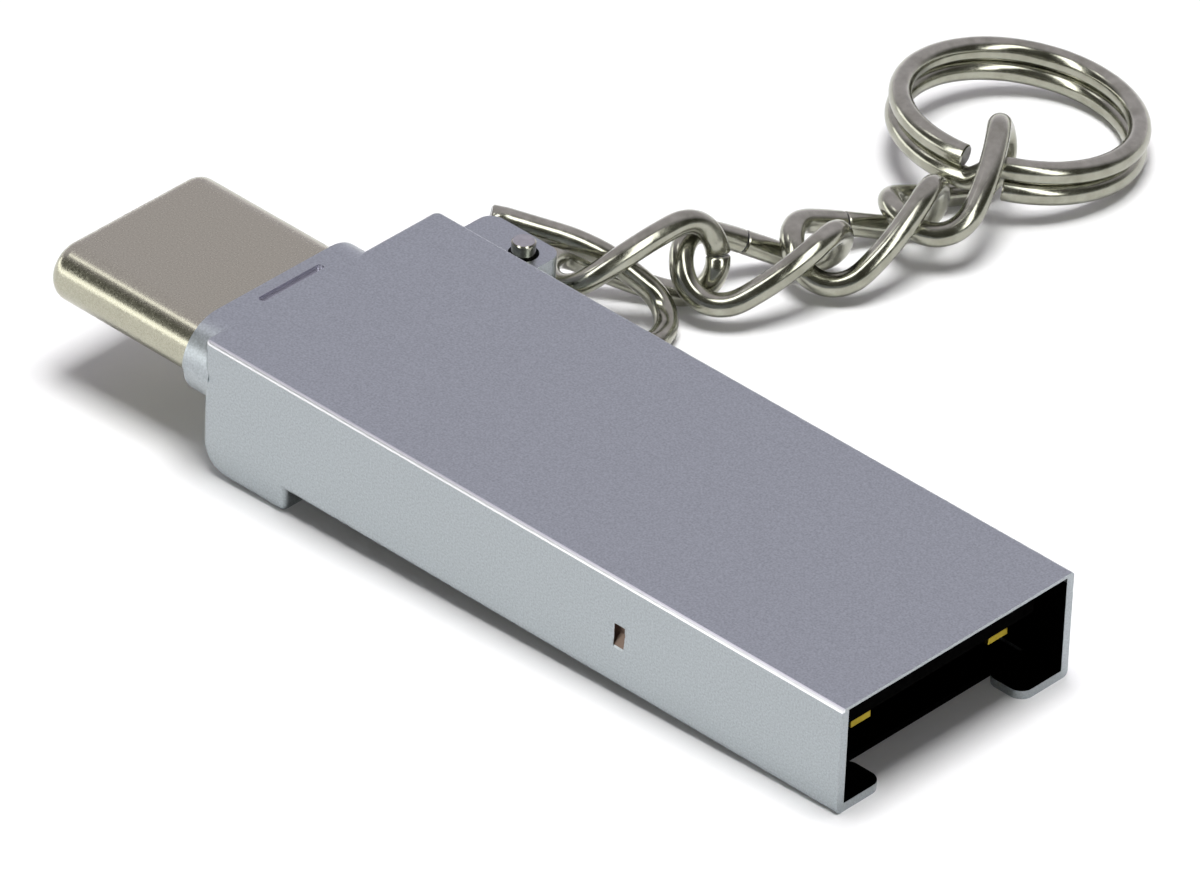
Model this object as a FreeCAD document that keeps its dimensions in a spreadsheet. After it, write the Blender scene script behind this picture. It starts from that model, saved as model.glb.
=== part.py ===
import FreeCAD, Part
import math
import os
import Sketcher

# Key-chain card reader: a USB-A sleeve with a USB-C plug at its head, a chain and a split ring.
# The origin is the centre of the sleeve's mouth, +X points out of the mouth, +Z is up and
# the ear with its chain is on the +Y side. All sizes are in millimetres, angles in degrees.

Vector = FreeCAD.Vector
doc = FreeCAD.newDocument("card_reader")
sheet = doc.addObject("Spreadsheet::Sheet", "dims")

driving_sizes = {
    # housing
    "body_length": 31.0,
    "shell_width": 12.0,
    "shell_height": 4.5,
    "wall": 0.35,
    "edge_radius": 0.16,
    "corner_radius": 0.3,
    "lower_radius": 0.22,
    "lead_in": 0.22,
    "head_length": 4.2,
    "foot_drop": 1.0,
    "foot_nose_radius": 1.2,
    "foot_heel_radius": 0.3,
    "tab_width": 2.4,
    "tab_length": 1.8,
    "tab_corner": 0.55,
    "dent_from_mouth": 10.5,
    "dent_below_top": 2.4,
    "dent_width": 0.5,
    "dent_height": 1.0,
    "dent_depth": 0.3,
    "dish_radius": 3.0,
    "dish_depth": 0.06,
    "dish_rise": 0.15,
    # collar round the USB-C plug, with its parting step and the line on its top
    "collar_length": 1.0,
    "collar_rim": 0.5,
    "parting_step": 0.07,
    "mark_length": 3.2,
    "mark_width": 0.3,
    "mark_depth": 0.16,
    "mark_end": 0.13,
    "mark_setback": 0.35,
    "mark_shift": 0.25,
    # ear for the chain
    "ear_reach": 2.5,
    "ear_length": 3.65,
    "ear_setback": 0.35,
    "ear_thickness": 1.2,
    "ear_below_top": 1.1,
    "ear_corner": 0.6,
    "ear_hole": 1.16,
    "hole_from_edge": 1.05,
    "hole_from_end": 2.64,
    # USB-C plug
    "plug_width": 8.25,
    "plug_height": 2.4,
    "plug_reach": 7.4,
    "plug_shift": -1.42,
    "plug_wall": 0.3,
    "plug_lip": 0.66,
    "plug_nose_radius": 0.6,
    "plug_seat": 3.2,
    "slot_side": 0.4,
    "slot_height": 0.84,
    "insulator_setback": 0.35,
    "pin_width": 0.25,
    "pin_pitch": 0.5,
    "pin_thickness": 0.12,
    "pin_setback": 1.3,
    "latch_thickness": 0.15,
    "latch_height": 0.6,
    "latch_length": 5.0,
    # contact carrier and USB-A contacts
    "fit_gap": 0.05,
    "tongue_setback": 1.2,
    "tongue_thickness": 1.9,
    "tongue_nose": 2.0,
    "tongue_chamfer": 0.25,
    "tray_side": 0.6,
    "contact_width": 1.0,
    "contact_thickness": 0.26,
    "contact_proud": 0.08,
    "contact_setback": 0.05,
    "power_pitch": 7.1,
    "power_length": 7.4,
    "data_pitch": 2.0,
    "data_length": 6.4,
    # circuit board and what is on it
    "board_thickness": 0.6,
    "board_neck": 6.4,
    "board_overlap": 1.8,
    "chip_side": 5.0,
    "chip_thickness": 0.8,
    "chip_from_mouth": 19.0,
    "crystal_length": 3.2,
    "crystal_width": 2.5,
    "crystal_thickness": 0.7,
    "crystal_from_mouth": 12.0,
    "chip_part_length": 1.0,
    "chip_part_width": 0.5,
    "capacitor_thickness": 0.5,
    "resistor_thickness": 0.35,
    "chip_part_pitch": 1.3,
    # memory card slot
    "spring_width": 0.6,
    "spring_pitch": 1.1,
    "spring_thickness": 0.15,
    "spring_length": 5.6,
    "spring_drop": 0.6,
    "card_tray_thickness": 0.25,
    # chain and split ring
    "wire": 0.92,
    "link_inner_length": 5.38,
    "link_inner_width": 2.46,
    "link_twist": -111.0,
    "link_cut": 0.06,
    "opened_cut": 0.16,
    "second_slack": 0.53,
    "third_slack": 0.94,
    "fourth_slack": 1.085,
    "ring_wire": 0.88,
    "ring_inner": 8.14,
    "ring_slack": 1.01,
    "ring_jog": 18.0,
    "ring_end_gap": 1.0,
    # how the opened first link is bent, from the ear's hole
    "tip_rise": 0.55,
    "shank_drop": 1.3,
    "bow_x": 4.05,
    "bow_y": 2.35,
    "bow_drop": 2.5,
    "turn_x": 2.7,
    "turn_y": 5.53,
    "turn_drop": 2.65,
    "knee_x": 0.22,
    "knee_y": 3.95,
    "knee_drop": 0.33,
    "cut_x": 2.85,
    "cut_y": 1.27,
    "cut_rise": 0.85,
    "seat_x": 0.71,
    "seat_y": 0.97,
    "seat_drop": 0.8,
}


class Size:
    # A number together with the expression that binds it to the sheet's cells.

    def __init__(self, value, text):
        self.value = value
        self.text = text

    def join(self, other, sign, value):
        return Size(value, "(%s %s %s)" % (self.text, sign, other.text))

    def __add__(self, other):
        return self.join(other, "+", self.value + other.value)

    def __sub__(self, other):
        return self.join(other, "-", self.value - other.value)

    def __neg__(self):
        return Size(-self.value, "(-%s)" % self.text)

    def __mul__(self, number):
        return Size(self.value * number, "(%s * %s)" % (self.text, number))

    def __truediv__(self, number):
        return Size(self.value / number, "(%s / %s)" % (self.text, number))


size = {}
for row, (alias, number) in enumerate(driving_sizes.items(), start=1):
    sheet.set("A%d" % row, alias)
    sheet.set("B%d" % row, str(number))
    sheet.setAlias("B%d" % row, alias)
    size[alias] = Size(number, "dims." + alias)
doc.recompute()

zero = size["wall"] * 0
subparts = []


def bind(target, prop, amount):
    target.setExpression(prop, amount.text)


def place(target, x, y, z):
    bind(target, "Placement.Base.x", x)
    bind(target, "Placement.Base.y", y)
    bind(target, "Placement.Base.z", z)


def keep(target, label):
    target.Label = label
    subparts.append(target)


def new_body(name):
    return doc.addObject("PartDesign::Body", name)


def new_sketch(body, name, role, offset):
    plane = next(item for item in body.Origin.OriginFeatures if item.Role == role)
    sketch = body.newObject("Sketcher::SketchObject", name)
    sketch.AttachmentSupport = (plane, [""])
    sketch.MapMode = "FlatFace"
    bind(sketch, "AttachmentOffset.Base.z", offset)
    return sketch


def fix_point(sketch, curve, end, x, y):
    for kind, amount in (("DistanceX", x), ("DistanceY", y)):
        index = sketch.addConstraint(Sketcher.Constraint(kind, -1, 1, curve, end, amount.value))
        bind(sketch, "Constraints[%d]" % index, amount)


def fix_radius(sketch, curve, radius):
    index = sketch.addConstraint(Sketcher.Constraint("Radius", curve, radius.value))
    bind(sketch, "Constraints[%d]" % index, radius)


def draw_polygon(sketch, corners):
    points = [Vector(x.value, y.value, 0) for x, y in corners]
    first = sketch.GeometryCount
    count = len(points)
    for i in range(count):
        sketch.addGeometry(Part.LineSegment(points[i], points[(i + 1) % count]))
    for i in range(count):
        following = first + (i + 1) % count
        sketch.addConstraint(Sketcher.Constraint("Coincident", first + i, 2, following, 1))
    for i, (x, y) in enumerate(corners):
        fix_point(sketch, first + i, 1, x, y)


def draw_rectangle(sketch, left, low, right, high):
    draw_polygon(sketch, [(left, low), (right, low), (right, high), (left, high)])


def draw_slot(sketch, x, y, width, height):
    # A level slot with round ends, from its centre, whole width and whole height.
    radius = height / 2
    run = (width - height) / 2
    up = Vector(0, 0, 1)
    left_centre = Vector((x - run).value, y.value, 0)
    right_centre = Vector((x + run).value, y.value, 0)
    rise = Vector(0, radius.value, 0)
    quarter = math.pi / 2
    left_circle = Part.Circle(left_centre, up, radius.value)
    right_circle = Part.Circle(right_centre, up, radius.value)
    left = sketch.addGeometry(Part.ArcOfCircle(left_circle, quarter, 3 * quarter))
    low = sketch.addGeometry(Part.LineSegment(left_centre - rise, right_centre - rise))
    right = sketch.addGeometry(Part.ArcOfCircle(right_circle, -quarter, quarter))
    high = sketch.addGeometry(Part.LineSegment(right_centre + rise, left_centre + rise))
    for a, b in ((left, low), (low, right), (right, high), (high, left)):
        sketch.addConstraint(Sketcher.Constraint("Tangent", a, 2, b, 1))
    fix_point(sketch, left, 3, x - run, y)
    fix_point(sketch, right, 3, x + run, y)
    fix_radius(sketch, left, radius)


def draw_circle(sketch, x, y, diameter):
    circle = Part.Circle(Vector(x.value, y.value, 0), Vector(0, 0, 1), diameter.value / 2)
    curve = sketch.addGeometry(circle)
    fix_point(sketch, curve, 3, x, y)
    fix_radius(sketch, curve, diameter / 2)


def work_out(feature):
    doc.recompute()
    if "Invalid" in feature.State or feature.Shape.isNull():
        raise ValueError(feature.Name + " can't be made")
    return feature


def pad(body, sketch, length, reverse=False, both_ways=False):
    feature = body.newObject("PartDesign::Pad", sketch.Name + "_pad")
    feature.Profile = sketch
    feature.Reversed = reverse
    if both_ways:
        feature.SideType = "Symmetric"
    bind(feature, "Length", length)
    return work_out(feature)


def pocket(body, sketch, depth, reverse=False):
    before = body.Tip.Shape.Volume
    feature = body.newObject("PartDesign::Pocket", sketch.Name + "_pocket")
    feature.Profile = sketch
    feature.Reversed = reverse
    bind(feature, "Length", depth)
    if work_out(feature).Shape.Volume >= before:
        raise ValueError(sketch.Name + " cuts nothing")
    return feature


def edges_where(shape, test):
    return ["Edge%d" % (i + 1) for i, edge in enumerate(shape.Edges) if test(edge)]


def round_edges(body, name, radius, test):
    base = body.Tip
    feature = body.newObject("PartDesign::Fillet", name)
    feature.Base = (base, edges_where(base.Shape, test))
    bind(feature, "Radius", radius)
    return work_out(feature)


def chamfer_edges(body, name, width, test):
    base = body.Tip
    feature = body.newObject("PartDesign::Chamfer", name)
    feature.Base = (base, edges_where(base.Shape, test))
    bind(feature, "Size", width)
    return work_out(feature)


def near(a, b):
    return abs(a - b) < 1e-4


def all_at(edge, axis, amount):
    # True where every end of the edge has this coordinate.
    return all(near(getattr(vertex.Point, axis), amount.value) for vertex in edge.Vertexes)


def box(name, low, high):
    block = doc.addObject("Part::Box", name)
    for prop, a, b in zip(("Length", "Width", "Height"), low, high):
        bind(block, prop, b - a)
    place(block, *low)
    return block


def group(name, blocks):
    compound = doc.addObject("Part::Compound", name)
    compound.Links = blocks
    keep(compound, name)


# Places that several pieces share
half_width = size["shell_width"] / 2
top = size["shell_height"] / 2
bottom = -top
head_end = -size["body_length"]
head_face = head_end + size["head_length"]
foot_bottom = bottom - size["foot_drop"]
inner_side = half_width - size["wall"]
inner_top = top - size["wall"]
plug_y = size["plug_shift"]
plug_z = top - size["collar_rim"] - size["plug_height"] / 2
collar_front = head_end - size["collar_length"]
plug_front = collar_front - size["plug_reach"]
plug_back = head_end + size["plug_seat"]
plug_inside = size["plug_width"] - size["plug_wall"] * 2
plug_inside_height = size["plug_height"] - size["plug_wall"] * 2
ear_start = head_end + size["ear_setback"]
ear_end = ear_start + size["ear_length"]
ear_edge = half_width + size["ear_reach"]
ear_top = top - size["ear_below_top"]
ear_bottom = ear_top - size["ear_thickness"]
hole_x = ear_start + size["hole_from_end"]
hole_y = ear_edge - size["hole_from_edge"]
carrier_top = inner_top - size["fit_gap"]
carrier_bottom = carrier_top - size["tongue_thickness"]
carrier_side = inner_side - size["fit_gap"]
contact_top = carrier_bottom + size["contact_thickness"] - size["contact_proud"]
tongue_front = -size["tongue_setback"]
carrier_back = head_face + size["fit_gap"]
board_bottom = plug_z - size["board_thickness"] / 2
board_top = plug_z + size["board_thickness"] / 2
board_front = tongue_front - size["tongue_nose"] - size["fit_gap"]
board_side = carrier_side - size["tray_side"] - size["fit_gap"]
slot_width = plug_inside - size["fit_gap"] * 2 - size["slot_side"] * 2
slot_front = plug_front + size["insulator_setback"]
slot_back = plug_back - size["fit_gap"]
neck_end = slot_back - size["board_overlap"]


def draw_side_profile(sketch):
    # Outline of the housing from the side: sleeve, head and foot, with the foot's two round corners.
    nose = size["foot_nose_radius"]
    heel = size["foot_heel_radius"]
    corners = [
        (head_end, top),
        (zero, top),
        (zero, bottom),
        (head_face, bottom),
        (head_face, foot_bottom + heel),
        (head_face - heel, foot_bottom),
        (head_end + nose, foot_bottom),
        (head_end, foot_bottom + nose),
    ]
    points = [Vector(x.value, y.value, 0) for x, y in corners]
    count = len(points)
    heel_arc = 4
    nose_arc = 6
    centres = {
        heel_arc: (head_face - heel, foot_bottom + heel),
        nose_arc: (head_end + nose, foot_bottom + nose),
    }
    starts = []
    for i in range(count):
        target = points[(i + 1) % count]
        if i in centres:
            centre = Vector(centres[i][0].value, centres[i][1].value, 0)
            radius = (points[i] - centre).Length
            circle = Part.Circle(centre, Vector(0, 0, 1), radius)
            arc = Part.ArcOfCircle(circle, circle.parameter(target), circle.parameter(points[i]))
            sketch.addGeometry(arc)
            starts.append(2)
        else:
            sketch.addGeometry(Part.LineSegment(points[i], target))
            starts.append(1)
    for i in range(count):
        after = (i + 1) % count
        sketch.addConstraint(Sketcher.Constraint("Coincident", i, 3 - starts[i], after, starts[after]))
    for i, (x, y) in enumerate(corners):
        fix_point(sketch, i, starts[i], x, y)
    fix_radius(sketch, heel_arc, heel)
    fix_radius(sketch, nose_arc, nose)


def draw_collar(sketch):
    # Round-ended collar whose lower half is a parting step smaller than its upper half.
    rim = size["collar_rim"]
    step = size["parting_step"]
    run = (size["plug_width"] - size["plug_height"]) / 2
    upper = size["plug_height"] / 2 + rim
    lower = upper - step
    up = Vector(0, 0, 1)
    left = Vector((plug_y - run).value, plug_z.value, 0)
    right = Vector((plug_y + run).value, plug_z.value, 0)
    quarter = math.pi / 2
    curves = (
        Part.ArcOfCircle(Part.Circle(right, up, upper.value), 0, quarter),
        Part.LineSegment(right + Vector(0, upper.value, 0), left + Vector(0, upper.value, 0)),
        Part.ArcOfCircle(Part.Circle(left, up, upper.value), quarter, 2 * quarter),
        Part.LineSegment(left - Vector(upper.value, 0, 0), left - Vector(lower.value, 0, 0)),
        Part.ArcOfCircle(Part.Circle(left, up, lower.value), 2 * quarter, 3 * quarter),
        Part.LineSegment(left - Vector(0, lower.value, 0), right - Vector(0, lower.value, 0)),
        Part.ArcOfCircle(Part.Circle(right, up, lower.value), 3 * quarter, 4 * quarter),
        Part.LineSegment(right + Vector(lower.value, 0, 0), right + Vector(upper.value, 0, 0)),
    )
    for curve in curves:
        sketch.addGeometry(curve)
    for i in range(len(curves)):
        following = (i + 1) % len(curves)
        sketch.addConstraint(Sketcher.Constraint("Coincident", i, 2, following, 1))
    for i, x, radius in ((0, run, upper), (2, -run, upper), (4, -run, lower), (6, run, lower)):
        fix_point(sketch, i, 3, plug_y + x, plug_z)
        fix_radius(sketch, i, radius)
    for i, x in ((1, run), (5, -run)):
        index = sketch.addConstraint(Sketcher.Constraint("DistanceX", -1, 1, i, 1, (plug_y + x).value))
        bind(sketch, "Constraints[%d]" % index, plug_y + x)
    for i, x in ((1, -run), (5, run)):
        index = sketch.addConstraint(Sketcher.Constraint("DistanceX", -1, 1, i, 2, (plug_y + x).value))
        bind(sketch, "Constraints[%d]" % index, plug_y + x)
    for i in (3, 7):
        sketch.addConstraint(Sketcher.Constraint("Horizontal", i))
        index = sketch.addConstraint(Sketcher.Constraint("DistanceY", -1, 1, i, 1, plug_z.value))
        bind(sketch, "Constraints[%d]" % index, plug_z)


def make_housing():
    body = new_body("housing_body")

    side = new_sketch(body, "side_profile", "XZ_Plane", zero)
    draw_side_profile(side)
    pad(body, side, size["shell_width"], both_ways=True)

    round_edges(
        body,
        "head_corners",
        size["corner_radius"],
        lambda edge: all_at(edge, "x", head_end) and not near(edge.Vertexes[0].Z, edge.Vertexes[1].Z),
    )
    round_edges(
        body,
        "top_edges",
        size["edge_radius"],
        lambda edge: all_at(edge, "z", top) and not all_at(edge, "x", zero),
    )
    round_edges(
        body,
        "lower_edges",
        size["lower_radius"],
        lambda edge: all_at(edge, "z", bottom) and near(edge.BoundBox.YLength, 0),
    )

    ear = new_sketch(body, "ear", "XY_Plane", ear_top)
    draw_rectangle(ear, ear_start, half_width - size["wall"], ear_end, ear_edge)
    pad(body, ear, size["ear_thickness"], reverse=True)
    round_edges(
        body,
        "ear_corners",
        size["ear_corner"],
        lambda edge: all_at(edge, "y", ear_edge) and near(edge.BoundBox.XLength, 0),
    )

    collar = new_sketch(body, "collar", "YZ_Plane", head_end + size["corner_radius"])
    draw_collar(collar)
    pad(body, collar, size["collar_length"] + size["corner_radius"], reverse=True)

    cavity = new_sketch(body, "cavity", "YZ_Plane", zero)
    draw_rectangle(cavity, -inner_side, foot_bottom, inner_side, inner_top)
    pocket(body, cavity, -head_face)

    def inner_rim(edge):
        return all_at(edge, "x", zero) and all_at(edge, "z", inner_top)

    chamfer_edges(body, "mouth_lead_in", size["lead_in"], inner_rim)

    tabs = new_sketch(body, "tabs", "YZ_Plane", zero)
    tab_top = bottom + size["wall"]
    tab_inner = half_width - size["tab_width"]
    tab_root = half_width - size["lower_radius"]
    draw_rectangle(tabs, -tab_root, bottom, -tab_inner, tab_top)
    draw_rectangle(tabs, tab_inner, bottom, tab_root, tab_top)
    pad(body, tabs, size["tab_length"], reverse=True)

    def tab_corner(edge):
        at_end = near(abs(edge.Vertexes[0].Y), tab_inner.value)
        upright = near(edge.BoundBox.ZLength, size["wall"].value) and near(edge.BoundBox.XLength, 0)
        return at_end and upright and near(edge.BoundBox.YLength, 0)

    round_edges(body, "tab_corners", size["tab_corner"], tab_corner)

    passage = new_sketch(body, "plug_passage", "YZ_Plane", head_face)
    gap = size["fit_gap"] * 2
    draw_slot(passage, plug_y, plug_z, size["plug_width"] + gap, size["plug_height"] + gap)
    pocket(body, passage, head_face - collar_front)

    hole = new_sketch(body, "ear_hole", "XY_Plane", ear_top)
    draw_circle(hole, hole_x, hole_y, size["ear_hole"])
    pocket(body, hole, size["ear_thickness"])

    mark = new_sketch(body, "collar_mark", "XY_Plane", top)
    mark_x = head_end - size["mark_setback"]
    mark_y = plug_y + size["mark_shift"]
    half_mark = size["mark_length"] / 2
    half_line = size["mark_width"] / 2
    draw_rectangle(mark, mark_x - half_line, mark_y - half_mark, mark_x + half_line, mark_y + half_mark)
    pocket(body, mark, size["mark_depth"])

    def mark_corner(edge):
        upright = near(edge.BoundBox.ZLength, size["mark_depth"].value) and near(edge.BoundBox.XLength, 0)
        at_end = near(abs(edge.Vertexes[0].Y - mark_y.value), half_mark.value)
        return upright and at_end and near(edge.BoundBox.YLength, 0)

    round_edges(body, "mark_ends", size["mark_end"], mark_corner)

    # The dent: a shallow dish in the near wall, and in it a notch that is deepest at its top
    dent_x = -size["dent_from_mouth"]
    dent_z = top - size["dent_below_top"]
    half_rise = size["dent_height"] / 2
    dish = body.newObject("PartDesign::SubtractiveSphere", "dent_dish")
    bind(dish, "Radius", size["dish_radius"])
    place(dish, dent_x, size["dish_depth"] - half_width - size["dish_radius"], dent_z + size["dish_rise"])
    work_out(dish)
    dent = new_sketch(body, "dent", "YZ_Plane", dent_x + size["dent_width"] / 2)
    corners = [
        (-half_width - size["wall"], dent_z + half_rise),
        (size["dent_depth"] - half_width, dent_z + half_rise),
        (size["dent_depth"] - half_width, dent_z),
        (-half_width, dent_z - half_rise),
        (-half_width - size["wall"], dent_z - half_rise),
    ]
    draw_polygon(dent, corners)
    pocket(body, dent, size["dent_width"])
    keep(body, "housing")


def make_usb_c_shell():
    body = new_body("usb_c_shell_body")
    outside = new_sketch(body, "shell_outside", "YZ_Plane", plug_back)
    draw_slot(outside, plug_y, plug_z, size["plug_width"], size["plug_height"])
    pad(body, outside, plug_back - plug_front, reverse=True)
    round_edges(body, "shell_nose", size["plug_nose_radius"], lambda edge: all_at(edge, "x", plug_front))
    inside = new_sketch(body, "shell_inside", "YZ_Plane", plug_back)
    draw_slot(inside, plug_y, plug_z, plug_inside, plug_inside_height)
    pocket(body, inside, plug_back - plug_front - size["plug_wall"])
    mouth = new_sketch(body, "shell_mouth", "YZ_Plane", plug_back)
    lip = size["plug_lip"] * 2
    draw_slot(mouth, plug_y, plug_z, size["plug_width"] - lip, size["plug_height"] - lip)
    pocket(body, mouth, plug_back - plug_front)
    keep(body, "usb_c_shell")


def make_usb_c_insulator():
    body = new_body("usb_c_insulator_body")
    outside = new_sketch(body, "insulator_outside", "YZ_Plane", slot_back)
    gap = size["fit_gap"] * 2
    draw_slot(outside, plug_y, plug_z, plug_inside - gap, plug_inside_height - gap)
    pad(body, outside, slot_back - slot_front, reverse=True)
    slot = new_sketch(body, "insulator_slot", "YZ_Plane", slot_back)
    half_slot = slot_width / 2
    half_rise = size["slot_height"] / 2
    draw_rectangle(slot, plug_y - half_slot, plug_z - half_rise, plug_y + half_slot, plug_z + half_rise)
    pocket(body, slot, slot_back - slot_front)
    keep(body, "usb_c_insulator")


def make_usb_c_pins():
    pins_in_a_row = 12
    half_rise = size["slot_height"] / 2
    half_pin = size["pin_width"] / 2
    start = plug_front + size["pin_setback"]
    rows = {
        "usb_c_upper_contacts": (plug_z + half_rise - size["pin_thickness"], plug_z + half_rise),
        "usb_c_lower_contacts": (plug_z - half_rise, plug_z - half_rise + size["pin_thickness"]),
    }
    for name, (low, high) in rows.items():
        pins = []
        for i in range(pins_in_a_row):
            y = plug_y + size["pin_pitch"] * (i - (pins_in_a_row - 1) / 2)
            pins.append(box("%s_%d" % (name, i + 1), (start, y - half_pin, low), (slot_back, y + half_pin, high)))
        group(name, pins)


def make_usb_c_latches():
    half_slot = slot_width / 2
    half_rise = size["latch_height"] / 2
    start = plug_front + size["pin_setback"]
    end = start + size["latch_length"]
    thick = size["latch_thickness"]
    sides = {
        "near_latch": (plug_y - half_slot, plug_y - half_slot + thick),
        "far_latch": (plug_y + half_slot - thick, plug_y + half_slot),
    }
    latches = []
    for name, (low, high) in sides.items():
        latches.append(box(name, (start, low, plug_z - half_rise), (end, high, plug_z + half_rise)))
    group("usb_c_side_latches", latches)


def contact_rows():
    # Front end, back end and offset from the middle of the two long and the two short contacts.
    front = tongue_front - size["contact_setback"]
    data_front = front - (size["power_length"] - size["data_length"])
    return {
        "usb_a_power_contacts": (front, front - size["power_length"], size["power_pitch"] / 2),
        "usb_a_data_contacts": (data_front, data_front - size["data_length"], size["data_pitch"] / 2),
    }


def make_contact_carrier():
    body = new_body("contact_carrier_body")
    block = new_sketch(body, "carrier_block", "XY_Plane", carrier_bottom)
    draw_rectangle(block, carrier_back, -carrier_side, tongue_front, carrier_side)
    pad(body, block, size["tongue_thickness"])
    chamfer_edges(body, "tongue_edge", size["tongue_chamfer"], lambda edge: all_at(edge, "x", tongue_front))
    tray = new_sketch(body, "carrier_tray", "XY_Plane", carrier_top)
    tray_side = carrier_side - size["tray_side"]
    draw_rectangle(tray, carrier_back, -tray_side, tongue_front - size["tongue_nose"], tray_side)
    pocket(body, tray, carrier_top - board_bottom)
    grooves = new_sketch(body, "contact_grooves", "XY_Plane", carrier_bottom)
    half = size["contact_width"] / 2
    for front, back, offset in contact_rows().values():
        for y in (-offset, offset):
            draw_rectangle(grooves, back, y - half, front + size["contact_setback"], y + half)
    pocket(body, grooves, contact_top - carrier_bottom, reverse=True)
    keep(body, "contact_carrier")


def make_usb_a_contacts():
    half = size["contact_width"] / 2
    for name, (front, back, offset) in contact_rows().items():
        strips = []
        for side, y in (("near", -offset), ("far", offset)):
            low = (back, y - half, contact_top - size["contact_thickness"])
            high = (front, y + half, contact_top)
            strips.append(box("%s_%s" % (name, side), low, high))
        group(name, strips)


def make_circuit_board():
    body = new_body("circuit_board_body")
    outline = new_sketch(body, "board_outline", "XY_Plane", board_bottom)
    half_neck = size["board_neck"] / 2
    shoulder = carrier_back
    corners = [
        (board_front, -board_side),
        (board_front, board_side),
        (shoulder, board_side),
        (shoulder, plug_y + half_neck),
        (neck_end, plug_y + half_neck),
        (neck_end, plug_y - half_neck),
        (shoulder, plug_y - half_neck),
        (shoulder, -board_side),
    ]
    draw_polygon(outline, corners)
    pad(body, outline, size["board_thickness"])
    keep(body, "circuit_board")


def make_board_parts():
    half_chip = size["chip_side"] / 2
    chip_x = -size["chip_from_mouth"]
    chip = box(
        "chip",
        (chip_x - half_chip, -half_chip, board_top),
        (chip_x + half_chip, half_chip, board_top + size["chip_thickness"]),
    )
    keep(chip, "controller_chip")
    half_length = size["crystal_length"] / 2
    half_width_of_can = size["crystal_width"] / 2
    can_x = -size["crystal_from_mouth"]
    can = box(
        "crystal_can",
        (can_x - half_length, -half_width_of_can, board_top),
        (can_x + half_length, half_width_of_can, board_top + size["crystal_thickness"]),
    )
    keep(can, "crystal")
    capacitors = 6
    resistors = 5
    rows = {
        "chip_capacitors": (capacitors, size["capacitor_thickness"], half_chip + size["chip_part_width"]),
        "chip_resistors": (resistors, size["resistor_thickness"], -half_chip - size["chip_part_width"] * 2),
    }
    for name, (count, thickness, y) in rows.items():
        parts = []
        for i in range(count):
            x = chip_x + size["chip_part_pitch"] * (i - (count - 1) / 2)
            low = (x - size["chip_part_length"] / 2, y, board_top)
            high = (x + size["chip_part_length"] / 2, y + size["chip_part_width"], board_top + thickness)
            parts.append(box("%s_%d" % (name, i + 1), low, high))
        group(name, parts)


def make_card_contacts():
    # Eight flat springs under the tray, each with a finger that slopes down to the card.
    springs = 8
    body = new_body("card_contacts_body")
    body.AllowCompound = True
    profile = new_sketch(body, "spring_profile", "XZ_Plane", size["spring_pitch"] * ((springs - 1) / 2))
    root = carrier_back + size["fit_gap"] * 2
    tip = root + size["spring_length"]
    thick = size["spring_thickness"]
    bend = root + size["spring_length"] / 3
    corners = [
        (root, carrier_bottom),
        (root, carrier_bottom - thick),
        (bend, carrier_bottom - thick),
        (tip, carrier_bottom - size["spring_drop"]),
        (tip, carrier_bottom - size["spring_drop"] + thick),
        (bend + thick, carrier_bottom),
    ]
    draw_polygon(profile, corners)
    first = pad(body, profile, size["spring_width"], both_ways=True)
    row = body.newObject("PartDesign::LinearPattern", "spring_row")
    row.Originals = [first]
    row.Direction = (profile, ["N_Axis"])
    row.Reversed = True
    row.Mode = "Spacing"
    bind(row, "Offset", size["spring_pitch"])
    row.Occurrences = springs
    body.Tip = row
    work_out(row)
    keep(body, "card_contacts")


def make_card_tray():
    body = new_body("card_tray_body")
    floor = new_sketch(body, "tray_floor", "XY_Plane", bottom)
    front = -size["tab_length"] - size["fit_gap"]
    draw_rectangle(floor, carrier_back, -carrier_side, front, carrier_side)
    pad(body, floor, size["card_tray_thickness"])
    keep(body, "card_tray")


wire_flats = 10


def wire_section(centre, along, diameter):
    # The wire's cross-section, as flats that hold the same area as the round.
    step = 2 * math.pi / wire_flats
    reach = diameter / 2 * math.sqrt(step / math.sin(step))
    side = along.cross(Vector(0, 0, 1))
    if side.Length < 0.1:
        side = along.cross(Vector(1, 0, 0))
    side.normalize()
    rise = side.cross(along)
    corners = []
    for i in range(wire_flats + 1):
        corners.append(centre + side * reach * math.cos(i * step) + rise * reach * math.sin(i * step))
    return Part.makePolygon(corners)


def biarc_joint(p0, t0, p1, t1):
    # The point where two arcs meet that leave p0 along t0 and reach p1 along t1.
    chord = p1 - p0
    both = t0 + t1
    lean = 2 * (1 - t0.dot(t1))
    if lean < 1e-9:
        reach = chord.dot(chord) / (4 * chord.dot(t0))
    else:
        along = chord.dot(both)
        reach = (-along + math.sqrt(along * along + lean * chord.dot(chord))) / lean
    return (p0 + t0 * reach + p1 - t1 * reach) * 0.5


def sweep_step(section, p0, t0, p1):
    # Carries the section from p0 to p1 on the arc that starts along t0.
    chord = p1 - p0
    axis = t0.cross(chord)
    if axis.Length < 1e-7 * chord.Length:
        return section.extrude(chord).Faces, section.translated(chord), t0
    axis.normalize()
    inward = axis.cross(t0)
    radius = chord.dot(chord) / (2 * inward.dot(chord))
    centre = p0 + inward * radius
    angle = math.degrees(2 * math.asin(min(1.0, chord.Length / (2 * radius))))
    faces = section.revolve(centre, axis, angle).Faces
    tangent = FreeCAD.Rotation(axis, angle).multVec(t0)
    return faces, section.rotated(centre, axis, angle), tangent


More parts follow.
